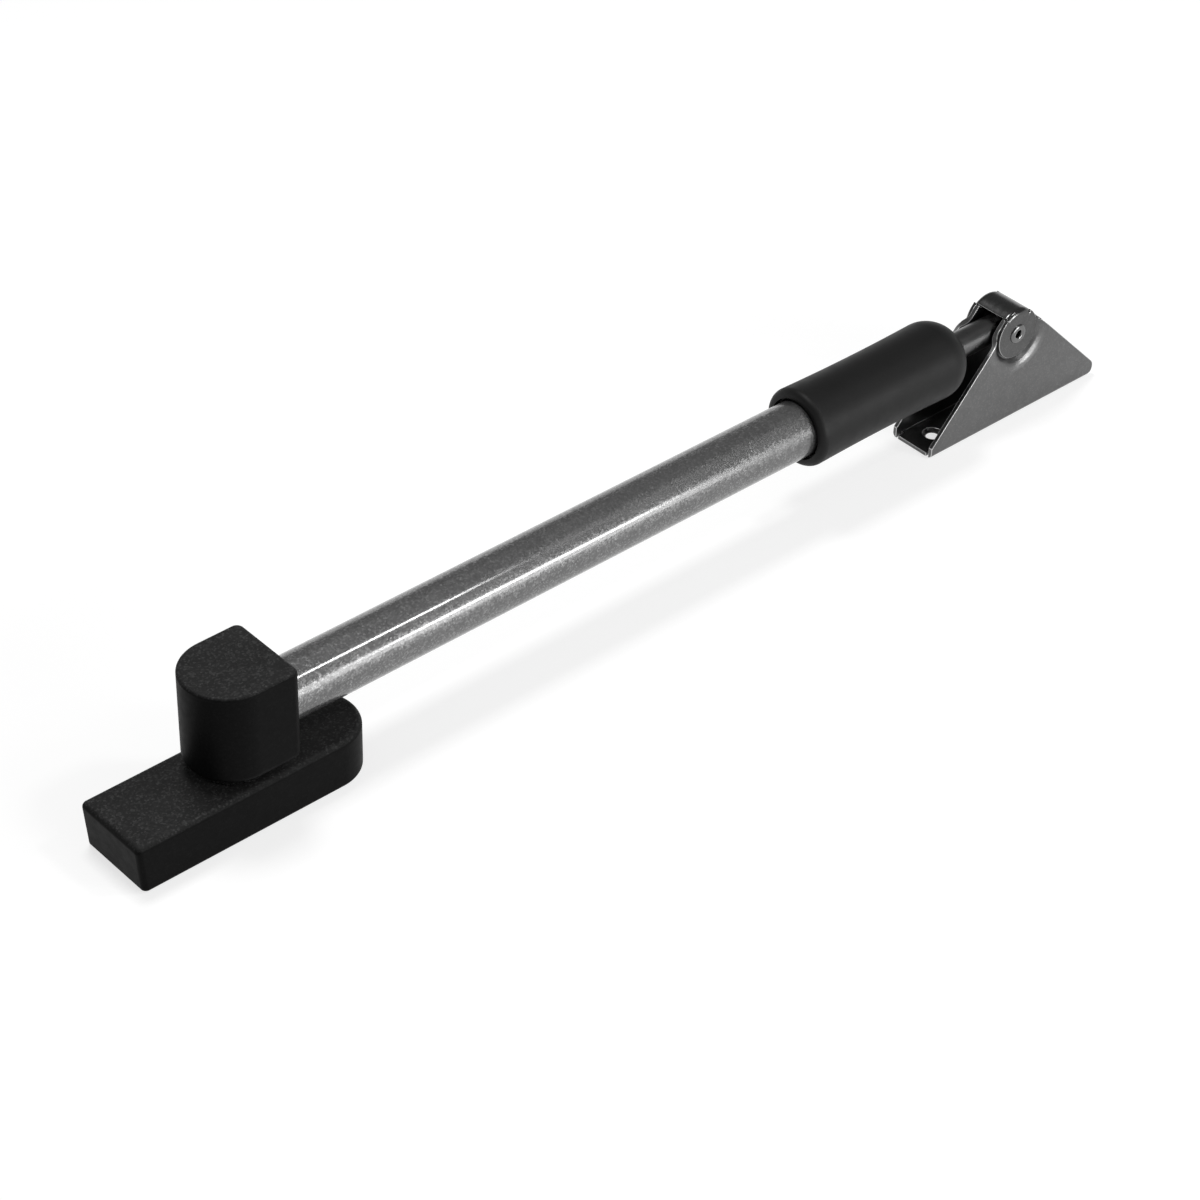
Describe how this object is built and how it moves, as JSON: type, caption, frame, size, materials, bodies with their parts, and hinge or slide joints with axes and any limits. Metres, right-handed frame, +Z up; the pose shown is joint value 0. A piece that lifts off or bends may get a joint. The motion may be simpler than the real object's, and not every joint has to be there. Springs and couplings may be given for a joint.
{
  "type": "telescopic window stay",
  "caption": "Telescopic window stay: moulded foot with a swivelling D-shaped block, painted tube, sliding rod locked by a twist grip, and a folded pivoting bracket.",
  "frame": {"origin": "where the swivel axis meets the foot's mounting plane, midway between the foot's fixing screws", "axes": "+X along the tube from the foot to the bracket, +Z up from the mounting plane, +Y across"},
  "size_m": [0.3358, 0.0242, 0.0429],
  "materials": {
    "foot_plastic": "fine spark texture",
    "tube_paint": "gloss metallic grey",
    "grip_rubber": "matt",
    "rod_steel": "ground and polished",
    "bracket_steel": "satin zinc plating",
    "saddle_steel": "dark zinc plating",
    "rivet_steel": "bright zinc plating",
    "screw_steel": "bright zinc plating",
    "spring_steel": "oiled",
    "insert_brass": "turned and knurled",
    "plug_aluminium": "turned",
    "natural_nylon": "moulded",
    "core_plastic": "moulded",
    "black_nylon": "moulded"
  },
  "bodies": {
    "foot": {"base_housing": "foot_plastic", "threaded_inserts": "insert_brass", "base_bush": "natural_nylon", "thrust_washer": "black_nylon"},
    "arm": {"pivot_screw": "screw_steel", "disc_spring": "spring_steel", "swivel_block": "foot_plastic", "tube_plug": "plug_aluminium", "outer_tube": "tube_paint", "collet_bush": "natural_nylon"},
    "grip": {"clamp_core": "core_plastic", "grip_sleeve": "grip_rubber", "rod_wiper": "grip_rubber"},
    "guide": {"guide_bush": "natural_nylon"},
    "rod": {"inner_rod": "rod_steel", "guide_clips": "spring_steel"},
    "bracket": {"hinge_bracket": "bracket_steel", "tie_saddle": "saddle_steel", "hinge_rivet": "rivet_steel", "pivot_spacers": "black_nylon"}
  },
  "joints": [
    {"name": "block_swivel", "type": "hinge", "parent": "foot", "child": "arm", "pos_m": [0, 0, 0], "axis": [0, 0, 1], "continuous": true},
    {"name": "grip_twist", "type": "hinge", "parent": "arm", "child": "grip", "pos_m": [0.2, 0, 0.0276], "axis": [1, 0, 0], "range_deg": [0, 180]},
    {"name": "rod_slide", "type": "slide", "parent": "arm", "child": "guide", "axis": [1, 0, 0], "range_m": [0, 0.1545]},
    {"name": "rod_spin", "type": "hinge", "parent": "guide", "child": "rod", "pos_m": [0.03, 0, 0.0276], "axis": [1, 0, 0], "continuous": true},
    {"name": "bracket_pivot", "type": "hinge", "parent": "rod", "child": "bracket", "pos_m": [0.2658, 0, 0.0276], "axis": [0, 1, 0], "range_deg": [-10, 12]}
  ]
}
